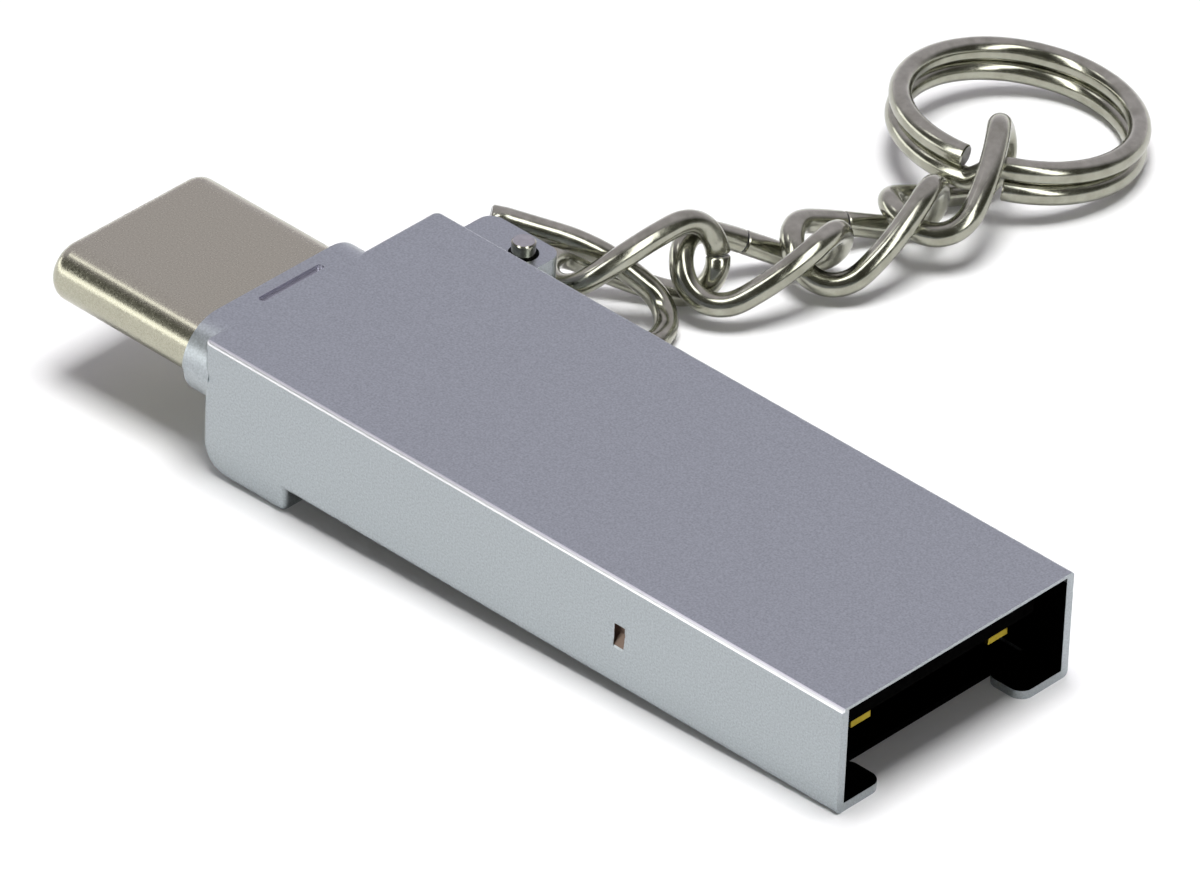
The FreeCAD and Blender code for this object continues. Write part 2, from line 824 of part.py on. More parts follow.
def bent_wire(points, tangents, diameter):
    # A wire along tangent arcs through the points, with flat cut ends.
    section = wire_section(points[0], tangents[0], diameter)
    faces = [Part.Face(section)]
    for p0, t0, p1, t1 in zip(points, tangents, points[1:], tangents[1:]):
        middle = biarc_joint(p0, t0, p1, t1)
        first_faces, section, tangent = sweep_step(section, p0, t0, middle)
        second_faces, section, tangent = sweep_step(section, middle, tangent, p1)
        faces += first_faces + second_faces
    faces.append(Part.Face(section))
    shell = Part.Shell(faces)
    shell.sewShape()
    solid = Part.Solid(shell)
    if solid.Volume < 0:
        solid.reverse()
    return solid


def along_path(path, stations, diameter):
    nudge = 1e-5
    points = [path(where) for where in stations]
    tangents = [(path(where + nudge) - path(where - nudge)).normalize() for where in stations]
    return bent_wire(points, tangents, diameter)


def spread(start, end, steps):
    return [start + (end - start) * i / steps for i in range(steps + 1)]


def keep_wire(name, solid, placement):
    feature = doc.addObject("Part::Feature", name + "_wire")
    feature.Shape = solid
    feature.Placement = placement
    keep(feature, name)


wire = size["wire"].value
half_length = (size["link_inner_length"].value + wire) / 2
bend_radius = (size["link_inner_width"].value + wire) / 2
leg = 2 * (half_length - bend_radius)
link_round = 2 * leg + 2 * math.pi * bend_radius


def link_path(distance):
    # Centre line of a curb link: an oval, twisted about its long axis, measured from its far bend.
    half_bend = math.pi * bend_radius / 2
    d = (distance + half_bend) % link_round - half_bend
    if d < half_bend:
        angle = d / bend_radius
        x = leg / 2 + bend_radius * math.cos(angle)
        y = bend_radius * math.sin(angle)
    elif d < half_bend + leg:
        x = leg / 2 - (d - half_bend)
        y = bend_radius
    elif d < link_round - half_bend - leg:
        angle = math.pi / 2 + (d - half_bend - leg) / bend_radius
        x = -leg / 2 + bend_radius * math.cos(angle)
        y = bend_radius * math.sin(angle)
    else:
        x = -leg / 2 + (d - (link_round - half_bend - leg))
        y = -bend_radius
    turn = math.radians(size["link_twist"].value) * x / (2 * half_length)
    return Vector(x, y * math.cos(turn), y * math.sin(turn))


def link_pose(centre, heading, climb, roll):
    turn = FreeCAD.Rotation(Vector(0, 0, 1), heading)
    turn = turn.multiply(FreeCAD.Rotation(Vector(0, 1, 0), -climb))
    turn = turn.multiply(FreeCAD.Rotation(Vector(1, 0, 0), roll))
    return FreeCAD.Placement(centre, turn)


def step_along(heading, climb, distance):
    level = math.cos(math.radians(climb)) * distance
    angle = math.radians(heading)
    return Vector(level * math.cos(angle), level * math.sin(angle), math.sin(math.radians(climb)) * distance)


# How the chain lies: each piece hangs in the one before it, at that one's reach less its slack
chain = [
    {"name": "chain_link_2", "heading": 53.0, "climb": 2.9, "roll": 125.5, "cut_at": 0.0, "cut": "opened_cut"},
    {"name": "chain_link_3", "heading": 66.9, "climb": -1.2, "roll": -10.6, "cut_at": 0.25, "cut": "link_cut",
     "towards": (56.2, -3.8), "slack": "second_slack"},
    {"name": "chain_link_4", "heading": 79.0, "climb": 5.6, "roll": 160.1, "cut_at": 0.75, "cut": "link_cut",
     "towards": (70.8, -0.5), "slack": "third_slack"},
    {"name": "chain_link_5", "heading": 98.9, "climb": 2.3, "roll": 141.0, "cut_at": 0.75, "cut": "link_cut",
     "towards": (82.7, 4.6), "slack": "fourth_slack"},
]
ring = {"name": "split_ring", "towards": (108.1, -4.0), "lean": 8.0, "lean_heading": 72.4, "jog_bearing": -65.0}


def make_opened_link():
    # The first link, pried open: one end stands up through the ear's hole, the other lies beside the ear.
    bend_share = 0.45

    def from_hole(x, y, z):
        return Vector((hole_x + x).value, (hole_y + y).value, z.value)

    knee = from_hole(size["knee_x"], size["knee_y"], ear_bottom - size["knee_drop"])
    corners = [
        from_hole(zero, zero, ear_top + size["tip_rise"]),
        from_hole(zero, zero, ear_bottom - size["shank_drop"]),
        from_hole(size["bow_x"], size["bow_y"], ear_bottom - size["bow_drop"]),
        from_hole(size["turn_x"], size["turn_y"], ear_bottom - size["turn_drop"]),
        knee,
        from_hole(-size["cut_x"], size["cut_y"], ear_bottom + size["cut_rise"]),
    ]
    points = [corners[0]]
    tangents = [(corners[1] - corners[0]).normalize()]
    for before, corner, after in zip(corners, corners[1:], corners[2:]):
        back = before - corner
        ahead = after - corner
        bend = bend_share * min(back.Length, ahead.Length)
        points.append(corner + back.normalize() * bend)
        tangents.append(-back)
        points.append(corner + ahead.normalize() * bend)
        tangents.append(ahead)
    points.append(corners[-1])
    tangents.append((corners[-1] - corners[-2]).normalize())
    keep_wire("chain_link_1", bent_wire(points, tangents, wire), FreeCAD.Placement())
    return knee


def make_chain():
    link_steps = 6
    centre = make_opened_link()
    centre += Vector(size["seat_x"].value, size["seat_y"].value, -size["seat_drop"].value)
    for link in chain:
        if "towards" in link:
            pitch = size["link_inner_length"].value - size[link["slack"]].value
            centre = centre + step_along(*link["towards"], pitch)
        half_cut = size[link["cut"]].value / 2
        start = link["cut_at"] * link_round + half_cut
        stations = spread(start, start + link_round - 2 * half_cut, link_steps)
        solid = along_path(link_path, stations, wire)
        keep_wire(link["name"], solid, link_pose(centre, link["heading"], link["climb"], link["roll"]))
    return centre


def make_split_ring(last_link):
    # Two turns, the upper one on the lower one, joined by a short jog where both wire ends lie.
    ring_wire = size["ring_wire"].value
    radius = (size["ring_inner"].value + ring_wire) / 2
    half_jog = size["ring_jog"].value / 2
    full_turn = 360.0
    turn_steps = 4

    def ring_path(angle):
        level = -ring_wire / 2 if angle < full_turn else ring_wire / 2
        bearing = math.radians(angle)
        return Vector(radius * math.cos(bearing), radius * math.sin(bearing), level)

    wire_end = half_jog + size["ring_end_gap"].value
    lower_turn = spread(wire_end, full_turn - half_jog, turn_steps)
    upper_turn = spread(full_turn + half_jog, 2 * full_turn - wire_end, turn_steps)
    solid = along_path(ring_path, lower_turn + upper_turn, ring_wire)
    lean_heading = math.radians(ring["lean_heading"])
    lean_axis = Vector(-math.sin(lean_heading), math.cos(lean_heading), 0)
    turn = FreeCAD.Rotation(lean_axis, ring["lean"])
    turn = turn.multiply(FreeCAD.Rotation(Vector(0, 0, 1), ring["jog_bearing"]))
    centre = last_link + step_along(*ring["towards"], radius + size["ring_slack"].value)
    keep_wire(ring["name"], solid, FreeCAD.Placement(centre, turn))


make_housing()
make_usb_c_shell()
make_usb_c_insulator()
make_usb_c_pins()
make_usb_c_latches()
make_contact_carrier()
make_usb_a_contacts()
make_circuit_board()
make_board_parts()
make_card_contacts()
make_card_tray()
make_split_ring(make_chain())
doc.recompute()

for item in doc.Objects:
    if "Invalid" in item.State or "Error" in item.State:
        raise RuntimeError("%s failed" % item.Label)
for item in subparts:
    if item.Shape.isNull() or not item.Shape.isValid():
        raise RuntimeError("%s has no valid shape" % item.Label)

os.makedirs("parts", exist_ok=True)
for item in subparts:
    item.Shape.exportStep("parts/%s.step" % item.Label)
    print("%-24s %2d solids %10.3f mm3" % (item.Label, len(item.Shape.Solids), item.Shape.Volume))
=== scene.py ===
import math

import bmesh
import bpy
from mathutils import Matrix, Vector


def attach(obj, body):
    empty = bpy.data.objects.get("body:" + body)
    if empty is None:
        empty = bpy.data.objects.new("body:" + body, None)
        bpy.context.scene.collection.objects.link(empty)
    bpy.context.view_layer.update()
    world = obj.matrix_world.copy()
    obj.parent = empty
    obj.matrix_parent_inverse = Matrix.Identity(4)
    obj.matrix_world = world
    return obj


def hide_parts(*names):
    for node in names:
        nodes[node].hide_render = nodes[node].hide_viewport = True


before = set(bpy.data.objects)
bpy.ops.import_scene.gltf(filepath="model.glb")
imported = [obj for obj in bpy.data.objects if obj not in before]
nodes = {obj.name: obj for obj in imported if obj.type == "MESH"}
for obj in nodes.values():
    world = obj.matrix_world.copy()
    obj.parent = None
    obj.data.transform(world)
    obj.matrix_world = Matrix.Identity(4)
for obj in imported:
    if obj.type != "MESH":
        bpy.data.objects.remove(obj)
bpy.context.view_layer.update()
mm = 0.001
print("frame loaded:", len(nodes), "pieces")

noiseRoughness = 0.55
grainSpan = (0.3, 0.7)        # stretch of the noise that a finish's two ends lie at
colourMix = {"share": 0, "under": 6, "over": 7, "result": 2}      # sockets of a colour mix


def newMaterial(name):
    material = bpy.data.materials.new(name)
    material.use_nodes = True
    tree = material.node_tree
    return material, tree, tree.nodes["Principled BSDF"]


def addNode(tree, kind, **settings):
    node = tree.nodes.new(kind)
    for key, value in settings.items():
        if key in node.inputs:
            node.inputs[key].default_value = value
        else:
            setattr(node, key, value)
    return node


def rampBetween(tree, source, low, high, span=(0.0, 1.0)):
    ramp = addNode(tree, "ShaderNodeValToRGB")
    first, last = ramp.color_ramp.elements
    first.position, last.position = span
    first.color = (*low, 1)
    last.color = (*high, 1)
    tree.links.new(source, ramp.inputs["Fac"])
    return ramp.outputs["Color"]


def grey(level):
    return (level, level, level)


def objectNoise(tree, scale, detail):
    place = addNode(tree, "ShaderNodeTexCoord")
    noise = addNode(tree, "ShaderNodeTexNoise", Scale=scale, Detail=detail, Roughness=noiseRoughness)
    tree.links.new(place.outputs["Object"], noise.inputs["Vector"])
    return noise.outputs["Fac"]


def addBump(tree, shader, height, look):
    bump = addNode(tree, "ShaderNodeBump", Strength=look["strength"], Distance=look["depth"])
    tree.links.new(height, bump.inputs["Height"])
    tree.links.new(bump.outputs["Normal"], shader.inputs["Normal"])


plainLook = {                 # what a finish has where its own dictionary says nothing
    "metallic": 0.0,
    "shine": 0.5,
    "grain": 4000.0,          # speckles per metre
    "detail": 3.0,
    "roughSpan": grainSpan,
    "bump": {"strength": 0.15, "depth": 0.02 * mm},
}


def makeFinish(name, look):
    look = {**plainLook, **look}
    material, tree, shader = newMaterial(name)
    shader.inputs["Metallic"].default_value = look["metallic"]
    shader.inputs["Specular IOR Level"].default_value = look["shine"]
    grain = objectNoise(tree, look["grain"], look["detail"])
    colour = rampBetween(tree, grain, look["dark"], look["light"], grainSpan)
    tree.links.new(colour, shader.inputs["Base Color"])
    low, high = look["roughness"]
    rough = rampBetween(tree, grain, grey(low), grey(high), look["roughSpan"])
    tree.links.new(rough, shader.inputs["Roughness"])
    bump = look["bump"]
    if bump and "grain" in bump:
        addBump(tree, shader, objectNoise(tree, bump["grain"], bump["detail"]), bump)
    elif bump:
        addBump(tree, shader, grain, bump)
    return material


housingLook = {               # satin cast metal, with boxes in millimetres where it differs, among them a painted highlight and painted shade
    "metallic": 1.0,
    "dark": (0.332, 0.360, 0.372),
    "light": (0.461, 0.498, 0.516),
    "grain": 13000.0,
    "detail": 2.0,
    "roughness": (0.34, 0.42),
    "bump": {"strength": 0.16, "depth": 0.01 * mm},
    "paintedHighlightEdge": ((-30.9, -6.02, 2.11), (0.01, -5.85, 2.27)),         # painted highlight, a bright line along the near edge
    "paintedHighlightBright": (0.86, 0.87, 0.88),
    "paintedHighlightDim": (0.66, 0.67, 0.68),                                # painted highlight, dimmer towards the head
    "paintedHighlightSpan": (-19.0, -7.0),                                     # the painted highlight brightens between these
    "mark": ((-31.60, -2.90, 2.05), (-31.10, 0.60, 2.246)),        # brighter in the groove on the collar
    "markMetal": (0.56, 0.56, 0.62),
    # darker brown inside the dent
    "dent": ((-10.77, -5.955, -0.68), (-10.23, -5.60, 0.38)),
    "dentBrown": (0.17, 0.125, 0.10),
    "inside": ((-26.9, -5.66, -1.905), (-0.02, 5.66, 1.905)),      # painted shade, black inside the sleeve
    "paintedShadeBlack": (0.004, 0.004, 0.004),
}


def boxMask(tree, corners):
    place = addNode(tree, "ShaderNodeTexCoord")
    low, high = [Vector(corner) * mm for corner in corners]
    middle = addNode(tree, "ShaderNodeVectorMath", operation="SUBTRACT")
    middle.inputs[1].default_value = (low + high) / 2
    tree.links.new(place.outputs["Object"], middle.inputs[0])
    size = addNode(tree, "ShaderNodeVectorMath", operation="ABSOLUTE")
    tree.links.new(middle.outputs[0], size.inputs[0])
    split = addNode(tree, "ShaderNodeSeparateXYZ")
    tree.links.new(size.outputs[0], split.inputs[0])
    mask = None
    for axis, reach in zip("XYZ", (high - low) / 2):
        inside = addNode(tree, "ShaderNodeMath", operation="LESS_THAN")
        inside.inputs[1].default_value = reach
        tree.links.new(split.outputs[axis], inside.inputs[0])
        if mask is None:
            mask = inside.outputs[0]
        else:
            both = addNode(tree, "ShaderNodeMath", operation="MULTIPLY")
            tree.links.new(mask, both.inputs[0])
            tree.links.new(inside.outputs[0], both.inputs[1])
            mask = both.outputs[0]
    return mask


def patchColour(tree, base, corners, patch):
    mix = addNode(tree, "ShaderNodeMix", data_type="RGBA")
    over = mix.inputs[colourMix["over"]]
    over.default_value = (*patch, 1)
    tree.links.new(boxMask(tree, corners), mix.inputs[colourMix["share"]])
    tree.links.new(base.links[0].from_socket, mix.inputs[colourMix["under"]])
    tree.links.new(mix.outputs[colourMix["result"]], base)
    return over


# painted highlight colour, dim towards the head and bright towards the mouth
def paintedHighlightFade(tree):
    place = addNode(tree, "ShaderNodeTexCoord")
    split = addNode(tree, "ShaderNodeSeparateXYZ")
    tree.links.new(place.outputs["Object"], split.inputs[0])
    along = addNode(tree, "ShaderNodeMapRange")
    start, end = housingLook["paintedHighlightSpan"]
    along.inputs["From Min"].default_value = start * mm
    along.inputs["From Max"].default_value = end * mm
    tree.links.new(split.outputs["X"], along.inputs["Value"])
    return rampBetween(tree, along.outputs["Result"], housingLook["paintedHighlightDim"], housingLook["paintedHighlightBright"])


def makeHousingMetal():
    material = makeFinish("satin cast metal", housingLook)
    tree = material.node_tree
    base = tree.nodes["Principled BSDF"].inputs["Base Color"]
    # painted highlight along the near top edge
    paintedHighlightEdge = patchColour(tree, base, housingLook["paintedHighlightEdge"], housingLook["paintedHighlightBright"])
    tree.links.new(paintedHighlightFade(tree), paintedHighlightEdge)
    # the last of these patches is painted shade, black inside the sleeve
    for box, metal in (("mark", "markMetal"), ("dent", "dentBrown"), ("inside", "paintedShadeBlack")):
        patchColour(tree, base, housingLook[box], housingLook[metal])
    return material


plugLook = {                  # warm drawn steel
    "metallic": 1.0,
    "dark": (0.375, 0.365, 0.285),
    "light": (0.500, 0.490, 0.385),
    "grain": 16000.0,
    "detail": 2.0,
    "roughness": (0.20, 0.28),
    "bump": {"strength": 0.14, "depth": 0.01 * mm},
}
nickelLook = {                # smeared, a little wavy
    "metallic": 1.0,
    "dark": (0.300, 0.300, 0.240),
    "light": (0.420, 0.420, 0.350),
    "grain": 1400.0,
    "roughness": (0.14, 0.24),
    "bump": {"grain": 3500.0, "detail": 2.0, "strength": 0.10, "depth": 0.03 * mm},
}
# gold plating, darker than bright gold so the contacts deep in the mouth look dim: partly painted shade
goldLook = {
    "metallic": 1.0,
    "dark": (0.32, 0.235, 0.012),
    "light": (0.48, 0.365, 0.03),
    "grain": 1500.0,
    "roughness": (0.25, 0.42),
    "roughSpan": (0.0, 1.0),
    "bump": None,
}
cutLook = {
    "metallic": 1.0,
    "dark": (0.38, 0.38, 0.38),
    "light": (0.50, 0.50, 0.50),
    "grain": 5000.0,
    "roughness": (0.30, 0.42),
}
# black plastic, darker than its own colour and without sheen so the mouth's inside reads black: partly
# painted shade
blackLook = {
    "shine": 0.0,
    "dark": (0.002, 0.002, 0.002),
    "light": (0.004, 0.004, 0.004),
    "roughness": (0.55, 0.7),
}
boardLook = {
    "dark": (0.008, 0.07, 0.03),
    "light": (0.014, 0.10, 0.045),
    "grain": 1200.0,
    "roughness": (0.25, 0.4),
}
chipLook = {
    "dark": (0.012, 0.012, 0.013),
    "light": (0.022, 0.022, 0.024),
    "roughness": (0.5, 0.65),
}
ceramicLook = {
    "dark": (0.28, 0.17, 0.09),
    "light": (0.38, 0.25, 0.14),
    "grain": 2500.0,
    "roughness": (0.4, 0.55),
}
latchLook = {
    "metallic": 1.0,
    "dark": (0.45, 0.45, 0.46),
    "light": (0.55, 0.55, 0.56),
    "grain": 3000.0,
    "roughness": (0.22, 0.34),
}

housingMetal = makeHousingMetal()
plugMetal = makeFinish("warm plug steel", plugLook)
chainNickel = makeFinish("chain nickel", nickelLook)
ringNickel = makeFinish("ring nickel", nickelLook)
gold = makeFinish("gold plating", goldLook)
cutNickel = makeFinish("cut wire", cutLook)
blackPlastic = makeFinish("black moulding", blackLook)
boardGreen = makeFinish("board laminate", boardLook)
chipResin = makeFinish("chip resin", chipLook)
ceramic = makeFinish("capacitor ceramic", ceramicLook)
latchSteel = makeFinish("spring steel", latchLook)

finishes = {
    "housing": housingMetal,
    "usb_c_shell": plugMetal,
    "usb_c_insulator": blackPlastic,
    "usb_c_upper_contacts": gold,
    "usb_c_lower_contacts": gold,
    "usb_c_side_latches": latchSteel,
    "contact_carrier": blackPlastic,
    "usb_a_power_contacts": gold,
    "usb_a_data_contacts": gold,
    "circuit_board": boardGreen,
    "controller_chip": chipResin,
    "crystal": latchSteel,
    "chip_capacitors": ceramic,
    "chip_resistors": chipResin,
    "card_contacts": gold,
    "card_tray": blackPlastic,
    "chain_link_1": chainNickel,
    "chain_link_2": chainNickel,
    "chain_link_3": chainNickel,
    "chain_link_4": chainNickel,
    "chain_link_5": chainNickel,
    "split_ring": ringNickel,
}


def dress(nodeName, material):
    slots = nodes[nodeName].data.materials
    slots.clear()
    slots.append(material)


for nodeName, material in finishes.items():
    dress(nodeName, material)
print("finishes on", len(finishes), "pieces")


wireShape = {                 # round wire, in place of the flat-sided solids
    "sides": 24,
    "step": 0.12 * mm,
    "rim": 0.05 * mm,
    "nipLength": 0.6 * mm,    # how far back the cutter squeezed a wire's end
    "sharpAngle": 35.0,
}


def evenly(route, step):
    reach = [0.0]
    for a, b in zip(route, route[1:]):
        reach.append(reach[-1] + (b - a).length)
    count = max(2, round(reach[-1] / step))
    spaced = []
    at = 0
    for i in range(count + 1):
        goal = reach[-1] * i / count
        while at < len(route) - 2 and reach[at + 1] < goal:
            at += 1
        share = (goal - reach[at]) / (reach[at + 1] - reach[at])
        spaced.append(route[at].lerp(route[at + 1], min(1.0, max(0.0, share))))
    return spaced


def squeeze(offset, along, nip, share):
    way = Vector(nip["way"])
    way = (way - along * way.dot(along)).normalized()
    return offset - way * offset.dot(way) * (1 - nip["thin"]) * share * share


def wireRings(route, radius):
    tangents = []
    for i in range(len(route)):
        before = route[max(0, i - 1)]
        after = route[min(len(route) - 1, i + 1)]
        tangents.append((after - before).normalized())
    side = tangents[0].orthogonal().normalized()
    rings = []
    for i, point in enumerate(route):
        if i:
            side = tangents[i - 1].rotation_difference(tangents[i]) @ side
            side = (side - tangents[i] * side.dot(tangents[i])).normalized()
        rings.append((point, tangents[i], side, radius))
    rim = wireShape["rim"]
    first = (rings[0][0], tangents[0], rings[0][2], radius - rim)
    last = (rings[-1][0], tangents[-1], rings[-1][2], radius - rim)
    rings[0] = (rings[0][0] + tangents[0] * rim, tangents[0], rings[0][2], radius)
    rings[-1] = (rings[-1][0] - tangents[-1] * rim, tangents[-1], rings[-1][2], radius)
    return [first] + rings + [last]


def sweepWire(name, route, radius, startNip=None, endNip=None):
    route = evenly(route, wireShape["step"])
    sides = wireShape["sides"]
    form = bmesh.new()
    loops = []
    for point, along, out, reach in wireRings(route, radius):
        across = along.cross(out)
        loop = []
        for k in range(sides):
            angle = 2 * math.pi * k / sides
            offset = (out * math.cos(angle) + across * math.sin(angle)) * reach
            for nip, end in ((startNip, route[0]), (endNip, route[-1])):
                share = 1 - (point - end).length / wireShape["nipLength"]
                if nip and share > 0:
                    offset = squeeze(offset, along, nip, share)
            loop.append(form.verts.new(point + offset))
        loops.append(loop)
    for a, b in zip(loops, loops[1:]):
        for k in range(sides):
            n = (k + 1) % sides
            form.faces.new((a[k], a[n], b[n], b[k]))
    for face in form.faces:
        face.smooth = True
    for cap in (list(reversed(loops[0])), loops[-1]):
        form.faces.new(cap).material_index = 1
    bmesh.ops.recalc_face_normals(form, faces=form.faces)
    mesh = bpy.data.meshes.new(name)
    form.to_mesh(mesh)
    form.free()
    mesh.set_sharp_from_angle(angle=math.radians(wireShape["sharpAngle"]))
    piece = bpy.data.objects.new(name, mesh)
    bpy.context.scene.collection.objects.link(piece)
    return piece


def fitWire(piece, nodeName, material):
    piece.data.materials.append(material)
    piece.data.materials.append(cutNickel)
    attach(piece, nodeName)
    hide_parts(nodeName)


linkShape = {"radius": 0.46, "halfLength": 3.15, "bend": 1.69, "twist": -111.0, "steps": 400}
linkPlaces = {                # millimetres, and heading, climb and roll in degrees
    "chain_link_2": {
        "centre": (-27.080, 12.370, -1.180),
        "turn": (53.0, 2.9, 125.5),
        "cutAt": 0.0,         # share of the way round
        "cut": 0.05,
        "nip": {"way": (0.5, -0.5, 0.7), "thin": 0.80},
    },
    "chain_link_3": {
        "centre": (-24.388, 16.391, -1.501),
        "turn": (66.9, -1.2, -10.6),
        "cutAt": 0.25,
        "cut": 0.06,
    },
    "chain_link_4": {
        "centre": (-22.928, 20.584, -1.540),
        "turn": (79.0, 5.6, 160.1),
        "cutAt": 0.75,
        "cut": 0.06,
    },
    "chain_link_5": {
        "centre": (-22.384, 24.831, -1.196),
        "turn": (98.9, 2.3, 141.0),
        "cutAt": 0.75,
        "cut": 0.06,
    },
}


def linkPoint(distance):
    halfLength = linkShape["halfLength"]
    bend = linkShape["bend"]
    leg = 2 * (halfLength - bend)
    total = 2 * leg + 2 * math.pi * bend
    halfBend = math.pi * bend / 2
    d = (distance + halfBend) % total - halfBend
    if d < halfBend:
        x = leg / 2 + bend * math.cos(d / bend)
        y = bend * math.sin(d / bend)
    elif d < halfBend + leg:
        x = leg / 2 - (d - halfBend)
        y = bend
    elif d < total - halfBend - leg:
        angle = math.pi / 2 + (d - halfBend - leg) / bend
        x = -leg / 2 + bend * math.cos(angle)
        y = bend * math.sin(angle)
    else:
        x = -leg / 2 + d - (total - halfBend - leg)
        y = -bend
    turn = math.radians(linkShape["twist"]) * x / (2 * halfLength)
    return Vector((x, y * math.cos(turn), y * math.sin(turn)))


def makeLink(nodeName):
    place = linkPlaces[nodeName]
    centre = Vector(place["centre"])
    heading, climb, roll = [math.radians(angle) for angle in place["turn"]]
    turn = Matrix.Rotation(heading, 3, "Z") @ Matrix.Rotation(-climb, 3, "Y") @ Matrix.Rotation(roll, 3, "X")
    total = 4 * (linkShape["halfLength"] - linkShape["bend"]) + 2 * math.pi * linkShape["bend"]
    start = place["cutAt"] * total + place["cut"] / 2
    length = total - place["cut"]
    steps = linkShape["steps"]
    route = [(centre + turn @ linkPoint(start + length * i / steps)) * mm for i in range(steps + 1)]
    nip = place.get("nip")
    piece = sweepWire(nodeName.replace("chain", "round"), route, linkShape["radius"] * mm, nip, nip)
    fitWire(piece, nodeName, chainNickel)


openedLink = {
    "radius": 0.46,
    "bendShare": 0.45,
    "bendSteps": 24,
    "corners": [
        (-28.01, 7.45, 1.70),
        (-28.01, 7.45, -1.35),
        (-23.96, 9.80, -2.55),
        (-25.31, 12.98, -2.70),
        (-27.79, 11.40, -0.38),
        (-30.86, 8.72, 0.80),
    ],
    "nip": {"way": (0.2, -0.3, 1.0), "thin": 0.55},
}


def roundedRoute(corners, share, steps):
    route = [corners[0]]
    for before, corner, after in zip(corners, corners[1:], corners[2:]):
        back = before - corner
        ahead = after - corner
        reach = share * min(back.length, ahead.length)
        back.normalize()
        ahead.normalize()
        halfAngle = back.angle(ahead) / 2
        centre = corner + (back + ahead).normalized() * (reach / math.cos(halfAngle))
        start = corner + back * reach - centre
        end = corner + ahead * reach - centre
        swing = start.angle(end)
        for i in range(steps + 1):
            part = i / steps
            spoke = (start * math.sin((1 - part) * swing) + end * math.sin(part * swing)) / math.sin(swing)
            route.append(centre + spoke)
    route.append(corners[-1])
    return route


def makeOpenedLink():
    corners = [Vector(corner) * mm for corner in openedLink["corners"]]
    route = roundedRoute(corners, openedLink["bendShare"], openedLink["bendSteps"])
    piece = sweepWire("round_link_1", route, openedLink["radius"] * mm, endNip=openedLink["nip"])
    fitWire(piece, "chain_link_1", chainNickel)


ringShape = {
    "radius": 0.44,
    "turnRadius": 4.51,
    "centre": (-24.095, 30.065, -1.581),
    "normal": (0.0421, 0.1327, 0.9903),
    "jogWay": (0.4248, -0.8995, 0.1024),      # where the wire steps up to its second turn
    "halfJog": 9.0,
    "endGap": 1.0,
    "steps": 1400,
}


def makeRing():
    centre = Vector(ringShape["centre"])
    normal = Vector(ringShape["normal"]).normalized()
    jogWay = Vector(ringShape["jogWay"])
    jogWay = (jogWay - normal * jogWay.dot(normal)).normalized()
    across = normal.cross(jogWay)
    level = ringShape["radius"]
    halfJog = ringShape["halfJog"]
    start = halfJog + ringShape["endGap"]
    steps = ringShape["steps"]
    route = []
    for i in range(steps + 1):
        angle = start + (720 - 2 * start) * i / steps
        if angle < 360 - halfJog:
            rise = -level
        elif angle > 360 + halfJog:
            rise = level
        else:
            rise = level * math.sin(math.radians((angle - 360) / halfJog * 90))
        bearing = math.radians(angle)
        spoke = (jogWay * math.cos(bearing) + across * math.sin(bearing)) * ringShape["turnRadius"]
        route.append((centre + spoke + normal * rise) * mm)
    piece = sweepWire("round_ring", route, ringShape["radius"] * mm)
    fitWire(piece, "split_ring", ringNickel)


makeOpenedLink()
for nodeName in linkPlaces:
    makeLink(nodeName)
makeRing()
print("round wires on the chain and the ring")


floorPlace = {
    "level": -2.25 * mm,
    "tilt": -2.14,            # the foot lifts the head, so the table leans in this frame
    "half": 0.6,
    "white": 0.92,
    "roughness": 0.9,
    "shine": 0.1,
    "seenLift": 0.05,         # glow that the camera and the metal see
}


def makeFloor():
    half = floorPlace["half"]
    mesh = bpy.data.meshes.new("table")
    corners = [(-half, -half, 0), (half, -half, 0), (half, half, 0), (-half, half, 0)]
    mesh.from_pydata(corners, [], [(0, 1, 2, 3)])
    floor = bpy.data.objects.new("table", mesh)
    bpy.context.scene.collection.objects.link(floor)
    floor.location = (0, 0, floorPlace["level"])
    floor.rotation_euler = (0, math.radians(floorPlace["tilt"]), 0)
    material, tree, shader = newMaterial("white table")
    shader.inputs["Base Color"].default_value = (*grey(floorPlace["white"]), 1)
    shader.inputs["Roughness"].default_value = floorPlace["roughness"]
    shader.inputs["Specular IOR Level"].default_value = floorPlace["shine"]
    path = addNode(tree, "ShaderNodeLightPath")
    shown = path.outputs["Is Camera Ray"]
    for ray in ("Is Glossy Ray", "Is Transmission Ray"):
        either = addNode(tree, "ShaderNodeMath", operation="MAXIMUM")
        tree.links.new(shown, either.inputs[0])
        tree.links.new(path.outputs[ray], either.inputs[1])
        shown = either.outputs[0]
    seen = addNode(tree, "ShaderNodeMath", operation="MULTIPLY")
    seen.inputs[1].default_value = floorPlace["seenLift"]
    tree.links.new(shown, seen.inputs[0])
    shader.inputs["Emission Color"].default_value = (*grey(1.0), 1)
    tree.links.new(seen.outputs[0], shader.inputs["Emission Strength"])
    mesh.materials.append(material)


studio = {
    "horizon": (0.55, 0.55, 0.55),
    "dome": (0.075, 0.075, 0.061),      # dark room above the horizon
    "horizonSpan": (0.02, 0.22),
    "back": (0.62, 0.58, 0.695),        # cool wall and ceiling behind the table
    "backWay": (-0.50, 0.60, 0.62),
    "backSpan": (0.35, 0.72),
    "shade": -0.42,                     # taken off the room's light on diffuse surfaces
    "cards": {
        "left strip": {"way": (-0.547, -0.27, 0.79), "width": 0.06, "height": 0.09, "bright": 3.0},
        "left box": {"way": (-0.147, -0.692, 0.707), "width": 0.12, "height": 0.48, "bright": 5.0},
        "right box": {"way": (0.703, -0.074, 0.707), "width": 0.12, "height": 0.48, "bright": 5.0},
        "low card": {"way": (-0.70, -0.69, 0.12), "width": 0.75, "height": 0.11, "bright": 2.4},
    },
    "tableBox": {"way": (0.0, 0.0, 1.0), "width": 0.20, "height": 0.20, "bright": 16.0},
    "reach": 0.45,
    "aim": (-0.02, 0.008, 0.0),
}


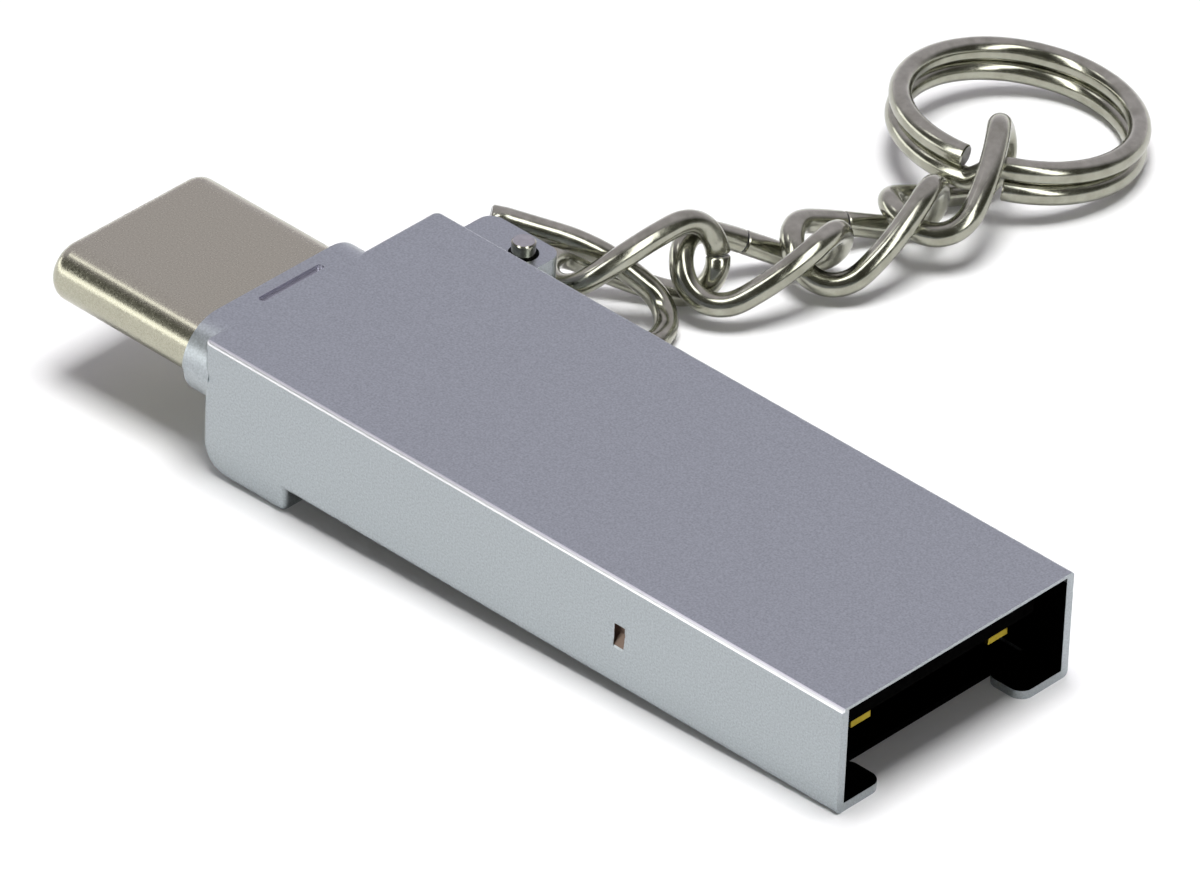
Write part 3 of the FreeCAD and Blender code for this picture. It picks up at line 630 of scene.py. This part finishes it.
def makeWorld():
    world = bpy.data.worlds.new("studio")
    bpy.context.scene.world = world
    world.use_nodes = True
    tree = world.node_tree
    background = tree.nodes["Background"]
    place = addNode(tree, "ShaderNodeTexCoord")
    split = addNode(tree, "ShaderNodeSeparateXYZ")
    tree.links.new(place.outputs["Generated"], split.inputs[0])
    room = rampBetween(tree, split.outputs["Z"], studio["horizon"], studio["dome"], studio["horizonSpan"])
    towards = addNode(tree, "ShaderNodeVectorMath", operation="DOT_PRODUCT")
    towards.inputs[1].default_value = Vector(studio["backWay"]).normalized()
    tree.links.new(place.outputs["Generated"], towards.inputs[0])
    wall = rampBetween(tree, towards.outputs["Value"], grey(0.0), studio["back"], studio["backSpan"])
    both = addNode(tree, "ShaderNodeMix", data_type="RGBA", blend_type="ADD")
    both.inputs[colourMix["share"]].default_value = 1.0
    tree.links.new(room, both.inputs[colourMix["under"]])
    tree.links.new(wall, both.inputs[colourMix["over"]])
    tree.links.new(both.outputs[colourMix["result"]], background.inputs["Color"])
    path = addNode(tree, "ShaderNodeLightPath")
    share = addNode(tree, "ShaderNodeMath", operation="MULTIPLY_ADD")
    share.inputs[1].default_value = studio["shade"]
    share.inputs[2].default_value = 1.0
    tree.links.new(path.outputs["Is Diffuse Ray"], share.inputs[0])
    tree.links.new(share.outputs[0], background.inputs["Strength"])


def addLamp(name, box):
    aim = Vector(studio["aim"])
    light = bpy.data.lights.new(name, "AREA")
    light.shape = "RECTANGLE"
    light.size = box["width"]
    light.size_y = box["height"]
    light.energy = box["bright"] * math.pi * box["width"] * box["height"]
    lamp = bpy.data.objects.new(name, light)
    bpy.context.scene.collection.objects.link(lamp)
    lamp.location = aim + Vector(box["way"]).normalized() * studio["reach"]
    lamp.rotation_euler = (aim - lamp.location).to_track_quat("-Z", "Y").to_euler()
    lamp.visible_camera = False
    return lamp


def addLamps():
    for name, card in studio["cards"].items():
        addLamp(name, card).visible_diffuse = False      # cards only show as glints
    addLamp("table box", studio["tableBox"]).visible_glossy = False


cameraView = {
    "azimuth": 41.92,
    "elevation": 35.01,
    "roll": 2.63,
    "distance": 511.3 * mm,
    "aim": (-20.62 * mm, 3.82 * mm, -1.49 * mm),
    "lens": 428.0,
    "sensor": 36.0,
    "nearest": 0.01,
    "farthest": 10.0,
}


def makeCamera():
    azimuth = math.radians(cameraView["azimuth"])
    elevation = math.radians(cameraView["elevation"])
    roll = math.radians(cameraView["roll"])
    level = math.cos(elevation)
    back = Vector((math.sin(azimuth) * level, -math.cos(azimuth) * level, math.sin(elevation)))
    right = Vector((math.cos(azimuth), math.sin(azimuth), 0))
    up = back.cross(right)
    rightTurned = right * math.cos(roll) + up * math.sin(roll)
    upTurned = up * math.cos(roll) - right * math.sin(roll)
    camera = bpy.data.cameras.new("camera")
    camera.sensor_width = cameraView["sensor"]
    camera.sensor_fit = "HORIZONTAL"
    camera.lens = cameraView["lens"]
    camera.clip_start = cameraView["nearest"]
    camera.clip_end = cameraView["farthest"]
    holder = bpy.data.objects.new("camera", camera)
    bpy.context.scene.collection.objects.link(holder)
    turn = Matrix((rightTurned, upTurned, back)).transposed().to_4x4()
    place = Vector(cameraView["aim"]) + back * cameraView["distance"]
    holder.matrix_world = Matrix.Translation(place) @ turn
    bpy.context.scene.camera = holder


makeFloor()
makeWorld()
addLamps()
makeCamera()
bpy.context.scene.view_settings.view_transform = "Standard"
print("stage ready")
